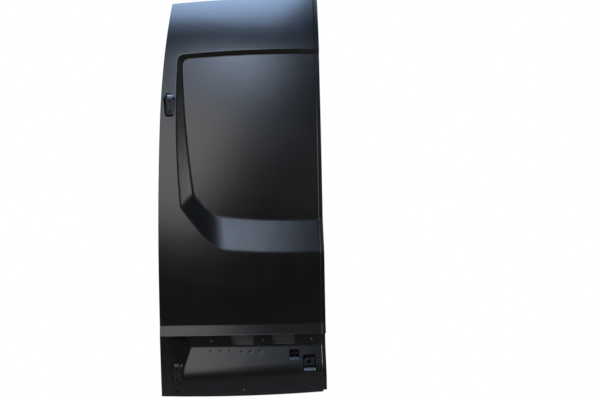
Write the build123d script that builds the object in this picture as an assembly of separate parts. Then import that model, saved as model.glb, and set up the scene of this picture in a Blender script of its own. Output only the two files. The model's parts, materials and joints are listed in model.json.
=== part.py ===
"""Left rear barn door of a high-roof van: the bare pressed-steel shell, in black primer.

Modelling frame, in millimetres: X runs from the hinge edge to the meeting edge, Y into the vehicle,
Z up from the lowest point of the bottom edge. Every piece is then moved so that the origin lies on
the face of the lower hinge pad.

The outer skin, the flanges behind it and the stiffeners all follow one surface. It is a side profile
of tangent arcs, turned about a far vertical axis in the middle of the vehicle, with the window blank,
the number plate bay and the hinge pads worked into it. body(depth) is everything that lies behind
that surface at a given depth, so each sheet is the difference of two such bodies.
"""

from build123d import *

from functools import lru_cache
from math import asin, atan, cos, degrees, hypot, radians, sin, sqrt, tan
import os

# Sheet gauges
SKIN_GAUGE = 1.0
INNER_GAUGE = 1.0
REINFORCEMENT_GAUGE = 2.5

# Outline of the skin, seen from behind the vehicle
SKIN_WIDTH = 780.0
TOP_HEIGHT = 1954.0
CENTRE_GAP = 8.0
TOP_RADIUS = 8600.0
WIDEST_HEIGHT = 600.0
WAIST_RADIUS = 20000.0
TUMBLEHOME_START = 1300.0
TUMBLEHOME_RADIUS = 5000.0
TUCK_RADIUS = 25700.0
BOTTOM_RADIUS = 10000.0
BOTTOM_LOW_X = 300.0
TOP_CORNER_RADIUS = 10.0

# Side profile: an upright lower panel, the body arc, then the tighter arc into the roof
LEAN_START = TOP_HEIGHT - 1504.0
BODY_RADIUS = 7600.0
BODY_SWEEP = 9.0
HEADER_RADIUS = 1240.0
HEADER_SWEEP = 20.0
PLAN_RADIUS = 9000.0

# Ledge strip over the number plate bay
STRIP_TOP = 340.0
STRIP_BOTTOM = 288.0
STRIP_OUT = 14.0
STRIP_SEAM = 296.0

# Window blank: how deep its floor lies below and above, and its four walls.
# A wall is a point of its lip, the lip's angle in the front view, and how far the wall
# runs towards the middle of the blank for each millimetre of depth.
BLANK_DEPTH_LOW = 50.7
BLANK_DEPTH_HIGH = 12.8
BLANK_FLOOR_LOW = 780.0
BLANK_FLOOR_HIGH = TOP_HEIGHT - 254.0
BLANK_LEFT_WALL = (98.5, TOP_HEIGHT - 364.0, 101.1, 1.64)
BLANK_TOP_WALL = (SKIN_WIDTH - 6.0, TOP_HEIGHT - 280.0, -1.7, 1.73)
BLANK_SHELF = (SKIN_WIDTH - 4.0, 683.0, 2.55, 2.82)
BLANK_DIAGONAL = (114.0, 897.0, -42.0, 1.98)
BLANK_TOP_CORNER = 38.0
BLANK_LEFT_CORNER = 40.0
BLANK_SHELF_CORNER = 160.0
BLANK_LIP_RADIUS = 8.0
BLANK_FOOT_RADIUS = 8.0
BLANK_REACH = 114.0
BLANK_REACH_LEAN = 0.0625

# Number plate bay: an upright band under the strip, then a sloping panel
BAND_DEPTH = 45.0
BAND_BOTTOM = 230.0
PLATE_SLOPE_END = 100.0
PLATE_BLEND_RADIUS = 260.0
BAY_LEFT_WALL = (29.0, 280.0, -63.9, 2.3)
BAY_FOOT_RADIUS = 10.0
BAY_RIDGE_RADIUS = 16.0
BAND_CORNER_RADIUS = 6.0
BAND_CREASE_RADIUS = 20.0
STRIP_CREASE_RADIUS = 20.0

# Number plate lamp openings in the band
LAMP_CENTRES = (SKIN_WIDTH - 385.0, SKIN_WIDTH - 186.0)
LAMP_WIDTH = 108.0
LAMP_HEIGHT = 44.0
LAMP_Z = 259.0
LAMP_CORNER = 7.0

# Clip holes for the trim between the lamps, and drain holes along the bottom
CLIP_XS = (SKIN_WIDTH - 534.0, SKIN_WIDTH - 287.0, SKIN_WIDTH - 52.0)
CLIP_RADIUS = 4.0
DRAIN_HOLES = ((81.0, 30.0), (SKIN_WIDTH - 380.0, 30.0), (SKIN_WIDTH - 56.0, 38.0))
DRAIN_RADIUS = 4.0

# Lock pockets in the plate panel: middle of the mouth, then width and height
LOCK_POCKET = (SKIN_WIDTH - 136.0, 189.0, 48.0, 46.0)
HANDLE_POCKET = (SKIN_WIDTH - 64.0, 150.0, 62.0, 74.0)
POCKET_DEPTH = 34.0
POCKET_DRAFT = 14.0
POCKET_CORNER = 9.0
POCKET_LIP = 7.0
POCKET_HOLE = 16.0

# Hinge pads: middle, with flat upright faces that stand proud of the skin
UPPER_PAD = (62.0, TOP_HEIGHT - 558.0)
LOWER_PAD = (80.0, 108.0)
PAD_WIDTH = 32.0
PAD_HEIGHT = 84.0
PAD_CORNER = 6.0
PAD_EDGE_RADIUS = 4.0
PAD_PROUD = 10.0
PAD_WALL_RUN = 0.4
PAD_HOLE_RADIUS = 4.5
PAD_HOLE_SPACING = 52.0

# Hem round the skin, and the sealing flange beyond the meeting edge
HEM_WIDTH = 12.0
SEAL_LAND = 24.0
MEETING_FLANGE_OUT = 17.0
MEETING_FLANGE_FOOT = 20.0
MEETING_FLANGE_TOP = TOP_HEIGHT - 10.0

# Inner panel: a tray behind the skin, set in from the edge by the seal's land
INNER_DEPTH = 80.0
APERTURE_TOP = TOP_HEIGHT - 374.0
APERTURE_MEETING = SKIN_WIDTH - 92.0
APERTURE = (
    (182.0, APERTURE_TOP),
    (224.0, 960.0),
    (322.0, 905.0),
    (APERTURE_MEETING, 905.0),
    (APERTURE_MEETING, APERTURE_TOP),
)
APERTURE_CORNER = 48.0
HEADER_SPLIT = APERTURE_TOP - 60.0
WAIST_SPLIT = 975.0
LOWER_SPLIT = 660.0
STILE_SPLIT = 400.0
MIDDLE_ACCESS = (200.0, 385.0, SKIN_WIDTH - 130.0, 615.0)
LOWER_ACCESS = (250.0, 70.0, SKIN_WIDTH - 180.0, 212.0)
ACCESS_CORNER = 40.0

# Stiffeners glued behind the skin
STIFFENER_WIDTH = 56.0
STIFFENER_DEPTH = 16.0
STIFFENER_FLANGE = 16.0
BLANK_STIFFENERS = {"blank_stiffener_upper": TOP_HEIGHT - 584.0, "blank_stiffener_lower": 1130.0}
BLANK_STIFFENER_SPAN = (232.0, APERTURE_MEETING - 8.0)
PANEL_STIFFENER_Z = 505.0
PANEL_STIFFENER_SPAN = (60.0, SKIN_WIDTH - 50.0)

# Latch, latch rod and check arm plates on the inner panel
PLATE_CORNER = 5.0
LATCH_Y = INNER_DEPTH / 2 + 2.0
LATCH_Z = 560.0
LATCH_PLATE_SIZE = (50.0, 150.0)
LATCH_SLOT = (20.0, 64.0)
LATCH_BOLT_RADIUS = 4.5
LATCH_BOLT_SPACING = 110.0
ROD_PLATE_X = SKIN_WIDTH - 80.0
ROD_PLATE_SIZE = (74.0, 34.0)
ROD_HOLE_RADIUS = 9.0
CHECK_PLATE = (112.0, 720.0)
CHECK_PLATE_SIZE = (44.0, 110.0)
CHECK_HOLE_RADIUS = 4.5
CHECK_HOLE_SPACING = 70.0

# Working room round the part for the bodies that cut it
FAR = 3000.0
MARGIN = 60.0
FRONT = -300.0
BACK = 420.0
CLEARANCE = 0.2
MASTIC = 0.3

SYMMETRY_X = SKIN_WIDTH + CENTRE_GAP
PLAN_AXIS = Axis((SYMMETRY_X, PLAN_RADIUS, 0), (0, 0, 1))
WALL_INSET = SEAL_LAND + INNER_GAUGE + CLEARANCE
ROD_PLATE_START = ROD_PLATE_X - ROD_PLATE_SIZE[0] / 2
ROD_PLATE_END = ROD_PLATE_X + ROD_PLATE_SIZE[0] / 2
UPPER_ROD_Z = TOP_HEIGHT - WALL_INSET - (SYMMETRY_X - ROD_PLATE_START) ** 2 / (2 * TOP_RADIUS)
LOWER_ROD_Z = WALL_INSET + (ROD_PLATE_END - BOTTOM_LOW_X) ** 2 / (2 * BOTTOM_RADIUS)
LOWER_ROD_Y = INNER_DEPTH / 2 - 4.0


def arc_y(z, centre_y, centre_z, radius):
    """Y on the outer side of an arc at height z."""
    return centre_y - sqrt(radius**2 - (z - centre_z) ** 2)


def lean(z, depth=0.0):
    """Y of the side profile at height z, at a depth behind the skin and without the strip."""
    if z <= LEAN_START:
        return depth
    if z <= LEAN_START + (BODY_RADIUS - depth) * sin(radians(BODY_SWEEP)):
        return arc_y(z, BODY_RADIUS, LEAN_START, BODY_RADIUS - depth)
    apart = BODY_RADIUS - HEADER_RADIUS
    centre_y = BODY_RADIUS - apart * cos(radians(BODY_SWEEP))
    centre_z = LEAN_START + apart * sin(radians(BODY_SWEEP))
    return arc_y(z, centre_y, centre_z, HEADER_RADIUS - depth)


def turned(y, x):
    """Y at x of a point that lies y behind the foremost line and is turned about the plan axis."""
    radius = PLAN_RADIUS - y
    return PLAN_RADIUS - sqrt(radius**2 - (x - SYMMETRY_X) ** 2)


def skin_y(x, z):
    """Y of the plain skin, without strip, blank and bay."""
    return turned(lean(z), x)


def platform_y(x):
    """Y of the skin below the strip."""
    return turned(-STRIP_OUT, x)


def plate_y(x, z):
    """Y of the sloping plate panel."""
    slope = BAND_DEPTH / (BAND_BOTTOM - PLATE_SLOPE_END)
    return turned(BAND_DEPTH - STRIP_OUT - (BAND_BOTTOM - z) * slope, x)


def turn(region):
    """Turns a side-view region about the plan axis, over the whole width and a margin each side."""
    hinge_angle = degrees(asin((SYMMETRY_X + MARGIN) / (PLAN_RADIUS - BACK)))
    meeting_angle = degrees(asin(MARGIN / (PLAN_RADIUS - BACK)))
    start = Plane((SYMMETRY_X, 0, 0), x_dir=(0, 1, 0), z_dir=(1, 0, 0)) * region
    return revolve(start.rotate(PLAN_AXIS, -hinge_angle), PLAN_AXIS, hinge_angle + meeting_angle)


def leaning_arc(start, radius, lean_from, lean_to):
    """An arc that leans back from one angle to another, drawn as one cubic curve."""
    first, last = radians(lean_from), radians(lean_to)
    handle = radius * 4 / 3 * tan((last - first) / 4)
    start = Vector(*start)
    end = start + Vector(cos(first) - cos(last), sin(last) - sin(first)) * radius
    start_handle = start + Vector(sin(first), cos(first)) * handle
    end_handle = end - Vector(sin(last), cos(last)) * handle
    return Bezier(start, start_handle, end_handle, end)


def main_arcs(start, depth):
    """The body arc and the header arc of the side profile, at a depth behind the skin."""
    body_curve = leaning_arc(start, BODY_RADIUS - depth, 0, BODY_SWEEP)
    header_end = BODY_SWEEP + HEADER_SWEEP
    header = leaning_arc(body_curve @ 1, HEADER_RADIUS - depth, BODY_SWEEP, header_end)
    return [body_curve, header]


def side_region(depth):
    """Side view of everything behind the skin, with the strip but without blank and bay."""
    drop = depth * tan(atan(STRIP_OUT / (STRIP_TOP - STRIP_BOTTOM)) / 2)
    foot = (depth - STRIP_OUT, -MARGIN)
    corners = [
        foot,
        (depth - STRIP_OUT, STRIP_BOTTOM - drop),
        (depth, STRIP_TOP - drop),
        (depth, LEAN_START),
    ]
    arcs = main_arcs(corners[-1], depth)
    top = arcs[-1] @ 1
    closing = Polyline((top.X, top.Y), (BACK, top.Y), (BACK, -MARGIN), foot)
    region = make_face([Polyline(*corners), *arcs, closing])
    crease = region.vertices().sort_by_distance((depth, STRIP_TOP - drop))[0]
    return fillet(crease, STRIP_CREASE_RADIUS + depth)


def inner_region(depth):
    """Side view of everything in front of the inner panel's face at that depth."""
    foot = (depth, -MARGIN)
    start = (depth, LEAN_START)
    arcs = main_arcs(start, depth)
    top = arcs[-1] @ 1
    closing = Polyline((top.X, top.Y), (FRONT, top.Y), (FRONT, -MARGIN), foot)
    return make_face([Line(foot, start), *arcs, closing])


def outline(inset):
    """Front view of the door, drawn in by an inset: five arcs and the straight meeting edge."""
    widest = (inset, WIDEST_HEIGHT)
    waist_sweep = degrees(asin((TUMBLEHOME_START - WIDEST_HEIGHT) / WAIST_RADIUS))
    tumblehome_sweep = degrees((TOP_HEIGHT + MARGIN - TUMBLEHOME_START) / TUMBLEHOME_RADIUS)
    tuck_sweep = degrees((WIDEST_HEIGHT + MARGIN) / TUCK_RADIUS)
    waist = JernArc(widest, (0, 1), WAIST_RADIUS - inset, -waist_sweep)
    tumblehome = JernArc(waist @ 1, waist % 1, TUMBLEHOME_RADIUS - inset, -tumblehome_sweep)
    tuck = JernArc(widest, (0, -1), TUCK_RADIUS - inset, tuck_sweep)
    meeting_x = SKIN_WIDTH - inset
    top, foot = tumblehome @ 1, tuck @ 1
    rest = Polyline(top, (meeting_x, top.Y), (meeting_x, foot.Y), foot)
    door = make_face([tumblehome, waist, tuck, rest])
    door &= Pos(SYMMETRY_X, TOP_HEIGHT - TOP_RADIUS) * Circle(TOP_RADIUS - inset)
    door &= Pos(BOTTOM_LOW_X, BOTTOM_RADIUS) * Circle(BOTTOM_RADIUS - inset)
    if inset < TOP_CORNER_RADIUS:
        corner = door.vertices().sort_by(Axis.Y)[-2:].sort_by(Axis.X)[0]
        door = fillet(corner, TOP_CORNER_RADIUS - inset)
    return door


@lru_cache(maxsize=None)
def prism(inset):
    """The outline, drawn in by an inset, as a body from front to back."""
    return extrude(Plane.XZ * outline(inset), amount=BACK - FRONT, both=True)


def wall_plane(wall, y, depth):
    """Plane of a sloping wall, facing the hollow, pushed back into the sheet by a depth."""
    x, z, angle, run = wall
    along = Vector(cos(radians(angle)), 0, sin(radians(angle)))
    inward = Vector(-along.Z, 0, along.X)
    return inward_plane(Vector(x, y, z), along, inward, run, depth)


def inward_plane(point, along, inward, run, depth):
    """Plane through a lip that runs inwards with depth; its normal faces the hollow."""
    slope = inward * run + Vector(0, 1, 0)
    normal = along.cross(slope).normalized()
    if normal.dot(inward) < 0:
        normal = -normal
    return Plane(point - normal * depth, x_dir=along, z_dir=normal)


def half_space(plane):
    """A large block on the side of a plane that its normal points to."""
    return plane * Pos(0, 0, FAR / 2) * Box(FAR, FAR, FAR)


def corner_edges(solid, first, second):
    """Edges of a solid that lie in both planes."""

    def lies_in(edge, plane):
        return abs((edge @ 0.5 - plane.origin).dot(plane.z_dir)) < 1e-4

    return [e for e in solid.edges() if lies_in(e, first) and lies_in(e, second)]


def blank_planes(depth):
    """Planes of the window blank's left wall, top wall, shelf and lower diagonal wall."""

    def plane(wall, flip):
        x, z, angle, run = wall
        return wall_plane((x, z, angle + flip, run), skin_y(x, z), depth)

    return (
        plane(BLANK_LEFT_WALL, 180),
        plane(BLANK_TOP_WALL, 180),
        plane(BLANK_SHELF, 0),
        plane(BLANK_DIAGONAL, 0),
    )


def blank_floor(depth):
    """Everything in front of the window blank's floor, which has the body arc's radius."""
    low_y = arc_y(BLANK_FLOOR_LOW, BODY_RADIUS, LEAN_START, BODY_RADIUS) + BLANK_DEPTH_LOW
    high_y = arc_y(BLANK_FLOOR_HIGH, BODY_RADIUS, LEAN_START, BODY_RADIUS) + BLANK_DEPTH_HIGH
    rise = BLANK_FLOOR_HIGH - BLANK_FLOOR_LOW
    middle_lean = degrees(atan((high_y - low_y) / rise))
    half_sweep = degrees(rise / 2 / BODY_RADIUS)
    start = (low_y + depth, BLANK_FLOOR_LOW)
    arc = leaning_arc(start, BODY_RADIUS, middle_lean - half_sweep, middle_lean + half_sweep)
    below = arc @ 0 - (arc % 0) * 2 * MARGIN
    above = arc @ 1 + (arc % 1) * MARGIN
    front = Polyline(arc @ 1, above, (FRONT, above.Y), (FRONT, below.Y), below, arc @ 0)
    return turn(make_face([arc, front]))


def window_blank(depth):
    """What is pressed out of the skin for the window blank."""
    left, top, shelf, diagonal = blank_planes(depth)
    behind_floor = (SKIN_WIDTH / 2, BLANK_REACH + depth, TOP_HEIGHT / 2)
    hollow = half_space(Plane(behind_floor, x_dir=(1, 0, 0), z_dir=(0, -1, BLANK_REACH_LEAN)))
    for plane in (left, top, shelf, diagonal):
        hollow &= half_space(plane)
    for first, second, radius in (
        (left, top, BLANK_TOP_CORNER),
        (left, diagonal, BLANK_LEFT_CORNER),
        (diagonal, shelf, BLANK_SHELF_CORNER),
    ):
        hollow = fillet(corner_edges(hollow, first, second), radius + depth)
    hollow &= blank_floor(depth)
    floor = hollow.faces().filter_by(GeomType.REVOLUTION).sort_by(SortBy.AREA)[-1]
    foot = [e for e in floor.edges() if (e @ 0.5).X < SKIN_WIDTH + MARGIN / 2]
    return fillet(foot, BLANK_FOOT_RADIUS + depth)


def plate_bay(depth):
    """What is pressed out of the lower skin for the lamp band and the sloping plate panel."""
    floor = BAND_DEPTH - STRIP_OUT
    slope_end = (-STRIP_OUT, PLATE_SLOPE_END)
    run = hypot(BAND_DEPTH, BAND_BOTTOM - PLATE_SLOPE_END)
    along = Vector(-BAND_DEPTH / run, -(BAND_BOTTOM - PLATE_SLOPE_END) / run)
    blend_sweep = degrees(asin(BAND_DEPTH / run)) - 3
    blend_length = PLATE_BLEND_RADIUS * tan(radians(blend_sweep / 2))
    blend_start = Vector(*slope_end) - along * blend_length
    blend = JernArc(blend_start, along, PLATE_BLEND_RADIUS, blend_sweep)
    exit_point = blend @ 1 + (blend % 1) * FAR / 4
    region = make_face(
        [
            Polyline(
                (FRONT, STRIP_BOTTOM), (floor, STRIP_BOTTOM), (floor, BAND_BOTTOM), blend_start
            ),
            blend,
            Polyline(blend @ 1, exit_point, (FRONT, exit_point.Y), (FRONT, STRIP_BOTTOM)),
        ]
    )
    if depth:
        region = offset(region, depth, kind=Kind.INTERSECTION)
    corners = region.vertices().sort_by(Axis.X)
    region = fillet(corners[-2:].sort_by(Axis.Y)[-1], BAND_CORNER_RADIUS + depth)
    corners = region.vertices().filter_by(lambda v: abs(v.Y - BAND_BOTTOM) < BAND_DEPTH / 2)
    region = fillet(corners.sort_by(Axis.X)[-1], BAND_CREASE_RADIUS + depth)
    left = wall_plane(BAY_LEFT_WALL, platform_y(BAY_LEFT_WALL[0]), depth)
    hollow = turn(region) & half_space(left)
    return fillet(bay_foot(hollow, left), BAY_FOOT_RADIUS + depth)


def bay_foot(hollow, left):
    """Edges of the bay's hollow where its left wall meets the band and the plate panel."""
    return [e for e in corner_edges(hollow, left, left) if (e @ 0.5).Y > platform_y((e @ 0.5).X)]


def pad_face_y(pad):
    """Y of a hinge pad's flat face: proud of the skin at the pad's lower end."""
    x, z = pad
    low = z - PAD_HEIGHT / 2
    base = platform_y(x) if z < STRIP_BOTTOM else skin_y(x, low)
    return base - PAD_PROUD


def hinge_pad(pad, depth):
    """Raised pad with sloping sides, drawn in by a depth."""
    x, z = pad
    shrink = depth * (sqrt(1 + PAD_WALL_RUN**2) - PAD_WALL_RUN)
    face = RectangleRounded(
        PAD_WIDTH - 2 * shrink, PAD_HEIGHT - 2 * shrink, max(PAD_CORNER - depth, PAD_CORNER / 4)
    )
    front = Plane((x, pad_face_y(pad) + depth, z), x_dir=(1, 0, 0), z_dir=(0, 1, 0))
    reach = INNER_DEPTH / 2
    pad = extrude(front * face, amount=reach, taper=-degrees(atan(PAD_WALL_RUN)))
    edge = pad.faces().sort_by(Axis.Y)[0].edges()
    return fillet(edge, PAD_EDGE_RADIUS - depth) if depth < PAD_EDGE_RADIUS else pad


@lru_cache(maxsize=None)
def plain_body(depth):
    """Everything behind the outer surface at a depth, with the window blank but no bay and no pads."""
    return turn(side_region(depth)) - window_blank(depth)


@lru_cache(maxsize=None)
def body(depth):
    """Everything that lies behind the outer surface at a depth."""
    solid = plain_body(depth)
    solid = fillet(blank_lip(solid, depth), BLANK_LIP_RADIUS - depth) - plate_bay(depth)
    solid = fillet(bay_ridge(solid, depth), BAY_RIDGE_RADIUS - depth)
    return solid + hinge_pad(UPPER_PAD, depth) + hinge_pad(LOWER_PAD, depth)


def bay_ridge(solid, depth):
    """The edge where the bay's left wall meets the skin below the strip."""
    left = wall_plane(BAY_LEFT_WALL, platform_y(BAY_LEFT_WALL[0]), depth)
    edges = corner_edges(solid, left, left)
    return [e for e in edges if abs((e @ 0.5).Y - turned(depth - STRIP_OUT, (e @ 0.5).X)) < CLEARANCE]


def blank_lip(solid, depth):
    """Edges where the window blank's walls meet the skin."""

    def on_skin(edge):
        middle = edge @ 0.5
        inside = BLANK_SHELF[1] - MARGIN < middle.Z < TOP_HEIGHT and middle.X < SKIN_WIDTH + MARGIN / 2
        return inside and abs(middle.Y - turned(lean(middle.Z, depth), middle.X)) < CLEARANCE

    return [e for e in solid.edges().filter_by(GeomType.BSPLINE) if on_skin(e)]


@lru_cache(maxsize=None)
def sheet(front, back):
    """A sheet between two depths behind the outer surface."""
    return body(front) - body(back)


def slab(x0, x1, z0, z1):
    """An upright block from front to back over a range of x and z."""
    return Pos((x0 + x1) / 2, 0, (z0 + z1) / 2) * Box(x1 - x0, 2 * (BACK - FRONT), z1 - z0)


def through_hole(x, z, radius):
    """A round cutter from front to back."""
    return Pos(x, 0, z) * Rot(90, 0, 0) * Cylinder(radius, 2 * (BACK - FRONT))


def pad_holes(pad):
    """Cutters for a pad's two hinge bolts."""
    x, z = pad
    return [through_hole(x, z + side * PAD_HOLE_SPACING / 2, PAD_HOLE_RADIUS) for side in (-1, 1)]


def pocket_flange(pocket):
    """Upright block over a pocket and the flange round it."""
    x, z, width, height = pocket
    face = RectangleRounded(width + 2 * POCKET_LIP, height + 2 * POCKET_LIP, POCKET_CORNER + POCKET_LIP)
    front = Plane((x, FRONT, z), x_dir=(1, 0, 0), z_dir=(0, 1, 0))
    return extrude(front * face, amount=BACK - FRONT)


def pocket_hollow(pocket, grow):
    """The hollow of a pocket, narrowing with depth; grow makes it the outside of the cup."""
    x, z, width, height = pocket
    mouth_y = plate_y(x, z - height / 2)
    draft = tan(radians(POCKET_DRAFT))
    widen = 2 * grow * (sqrt(1 + draft**2) - draft) + 2 * draft * POCKET_LIP
    face = RectangleRounded(width + widen, height + widen, POCKET_CORNER + grow)
    front = Plane((x, mouth_y - POCKET_LIP, z), x_dir=(1, 0, 0), z_dir=(0, 1, 0))
    return extrude(front * face, amount=POCKET_LIP + POCKET_DEPTH + grow, taper=POCKET_DRAFT)


def lamp_openings():
    """Cutters for the two number plate lamps."""
    face = RectangleRounded(LAMP_WIDTH, LAMP_HEIGHT, LAMP_CORNER)
    return [
        extrude(Plane((x, 0, LAMP_Z), x_dir=(1, 0, 0), z_dir=(0, -1, 0)) * face, amount=FAR / 4, both=True)
        for x in LAMP_CENTRES
    ]


def outer_skin():
    """The whole outer pressing with its hem folded over the inner flange."""
    hem_front = SKIN_GAUGE + INNER_GAUGE
    hem_back = hem_front + SKIN_GAUGE
    pan = prism(0) & body(0)
    pan -= prism(SKIN_GAUGE) & body(SKIN_GAUGE)
    pan -= body(hem_back)
    hem = (prism(SKIN_GAUGE) - prism(HEM_WIDTH)) & sheet(hem_front, hem_back)
    skin = pan + hem
    for cutter in pad_holes(UPPER_PAD) + pad_holes(LOWER_PAD) + lamp_openings():
        skin -= cutter
    for pocket in (LOCK_POCKET, HANDLE_POCKET):
        skin -= pocket_hollow(pocket, 0)
    for x in CLIP_XS:
        skin -= through_hole(x, LAMP_Z, CLIP_RADIUS)
    for hole in DRAIN_HOLES:
        skin -= through_hole(*hole, DRAIN_RADIUS)
    return skin


def meeting_flange():
    """Strip that carries the centre seal, behind the hem and out beyond the meeting edge."""
    front = 2 * SKIN_GAUGE + INNER_GAUGE
    strip = slab(
        SKIN_WIDTH - SEAL_LAND,
        SKIN_WIDTH + MEETING_FLANGE_OUT,
        MEETING_FLANGE_FOOT,
        MEETING_FLANGE_TOP,
    )
    return strip & sheet(front, front + INNER_GAUGE)


def aperture(grow):
    """The window aperture of the inner panel."""
    face = fillet(make_face(Polyline(*APERTURE, close=True)).vertices(), APERTURE_CORNER)
    face = offset(face, grow, kind=Kind.INTERSECTION) if grow else face
    return extrude(Plane.XZ * face, amount=FAR / 4, both=True)


def access(opening):
    """Cutter for an access opening of the inner panel."""
    x0, z0, x1, z1 = opening
    face = Pos((x0 + x1) / 2, (z0 + z1) / 2) * RectangleRounded(x1 - x0, z1 - z0, ACCESS_CORNER)
    return extrude(Plane.XZ * face, amount=FAR / 4, both=True)


def inner_tray():
    """The inner panel before it is parted: flange, side walls, face and aperture walls."""
    gauge = INNER_GAUGE
    block = (prism(SEAL_LAND) - aperture(0)) & body(SKIN_GAUGE) & turn(inner_region(INNER_DEPTH))
    hollow = (prism(SEAL_LAND + gauge) - aperture(gauge)) & turn(inner_region(INNER_DEPTH - gauge))
    flange = (prism(SKIN_GAUGE + CLEARANCE) - prism(SEAL_LAND + gauge)) & sheet(
        SKIN_GAUGE, SKIN_GAUGE + gauge
    )
    tray = (block - hollow) + flange
    holes = [access(MIDDLE_ACCESS), access(LOWER_ACCESS), *latch_cutters()]
    holes += [rod_hole(upper_rod_y(), UPPER_ROD_Z), rod_hole(LOWER_ROD_Y, LOWER_ROD_Z)]
    for hole in holes + check_holes():
        tray -= hole
    return tray


def hat_stiffener(span, z):
    """A hat section along the back of the skin, seated on mastic."""
    x0, x1 = span
    half = STIFFENER_WIDTH / 2
    gauge = INNER_GAUGE
    seat = SKIN_GAUGE + MASTIC
    deep = seat + STIFFENER_DEPTH
    bridge = slab(x0, x1, z - half, z + half)
    under_bridge = slab(x0 - MARGIN, x1 + MARGIN, z - half + gauge, z + half - gauge)
    crown = (bridge & plain_body(seat)) - plain_body(deep) - (under_bridge - plain_body(deep - gauge))
    reach = half + STIFFENER_FLANGE
    flange = (slab(x0, x1, z - reach, z + reach) & plain_body(seat)) - plain_body(seat + gauge)
    return crown + (flange - under_bridge)


def hinge_reinforcement(pad):
    """Plate inside a hinge pad, with its two bolt holes."""
    x, z = pad
    inset = PAD_EDGE_RADIUS
    front = Plane((x, pad_face_y(pad) + SKIN_GAUGE, z), x_dir=(1, 0, 0), z_dir=(0, 1, 0))
    face = RectangleRounded(PAD_WIDTH - 2 * inset, PAD_HEIGHT - 2 * inset, PAD_CORNER - inset)
    plate = extrude(front * face, amount=REINFORCEMENT_GAUGE)
    for hole in pad_holes(pad):
        plate -= hole
    return plate


def lock_cup(pocket):
    """A drawn cup behind a mouth in the plate panel, with a flange behind the skin."""
    gauge = INNER_GAUGE
    x, z, _, height = pocket
    shell = pocket_hollow(pocket, gauge) & body(SKIN_GAUGE)
    flange = pocket_flange(pocket) & sheet(SKIN_GAUGE, SKIN_GAUGE + gauge)
    cup = (shell + flange) - pocket_hollow(pocket, 0)
    return cup - through_hole(x, z + height / 10, POCKET_HOLE / 2)


def layer_on_inner_face(thickness):
    """A layer on the vehicle side of the inner panel."""
    seat = INNER_DEPTH + CLEARANCE
    return turn(inner_region(seat + thickness)) - turn(inner_region(seat))


def check_holes():
    """Cutters for the check arm's two bolts."""
    x, z = CHECK_PLATE
    return [through_hole(x, z + side * CHECK_HOLE_SPACING / 2, CHECK_HOLE_RADIUS) for side in (-1, 1)]


def check_arm_plate():
    """Bolting plate for the check arm, on the inner panel by the hinge edge."""
    face = Pos(*CHECK_PLATE) * RectangleRounded(*CHECK_PLATE_SIZE, PLATE_CORNER)
    plate = extrude(Plane.XZ * face, amount=FAR / 4, both=True) & layer_on_inner_face(REINFORCEMENT_GAUGE)
    for hole in check_holes():
        plate -= hole
    return plate


def latch_cutters():
    """Slot and bolt holes of the latch through the meeting-side wall of the inner panel."""
    wall_x = SKIN_WIDTH - SEAL_LAND
    plane = Plane((wall_x, LATCH_Y, LATCH_Z), x_dir=(0, 1, 0), z_dir=(1, 0, 0))
    shapes = [RectangleRounded(*LATCH_SLOT, LATCH_SLOT[0] / 4)]
    for side in (-1, 1):
        shapes.append(Pos(0, side * LATCH_BOLT_SPACING / 2) * Circle(LATCH_BOLT_RADIUS))
    return [extrude(plane * shape, amount=SEAL_LAND / 2, both=True) for shape in shapes]


def latch_plate():
    """Reinforcing plate behind the latch, inside the meeting-side wall."""
    front_x = SKIN_WIDTH - SEAL_LAND - INNER_GAUGE
    plane = Plane((front_x, LATCH_Y, LATCH_Z), x_dir=(0, 1, 0), z_dir=(-1, 0, 0))
    plate = extrude(plane * RectangleRounded(*LATCH_PLATE_SIZE, PLATE_CORNER), amount=REINFORCEMENT_GAUGE)
    for cutter in latch_cutters():
        plate -= cutter
    return plate


def rod_plate(z, y, inward):
    """Guide plate for a latch rod, inside the top or the bottom wall of the inner panel."""
    plane = Plane((ROD_PLATE_X, y, z), x_dir=(1, 0, 0), z_dir=(0, 0, inward))
    plate = extrude(plane * RectangleRounded(*ROD_PLATE_SIZE, PLATE_CORNER), amount=REINFORCEMENT_GAUGE)
    return plate - rod_hole(y, z)


def upper_rod_y():
    """Y of the upper latch rod, in the middle of the top wall."""
    return skin_y(ROD_PLATE_X, UPPER_ROD_Z) + INNER_DEPTH / 2


def rod_hole(y, z):
    """Cutter for a latch rod through the top or the bottom wall."""
    return Pos(ROD_PLATE_X, y, z) * Cylinder(ROD_HOLE_RADIUS, SEAL_LAND)


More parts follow.
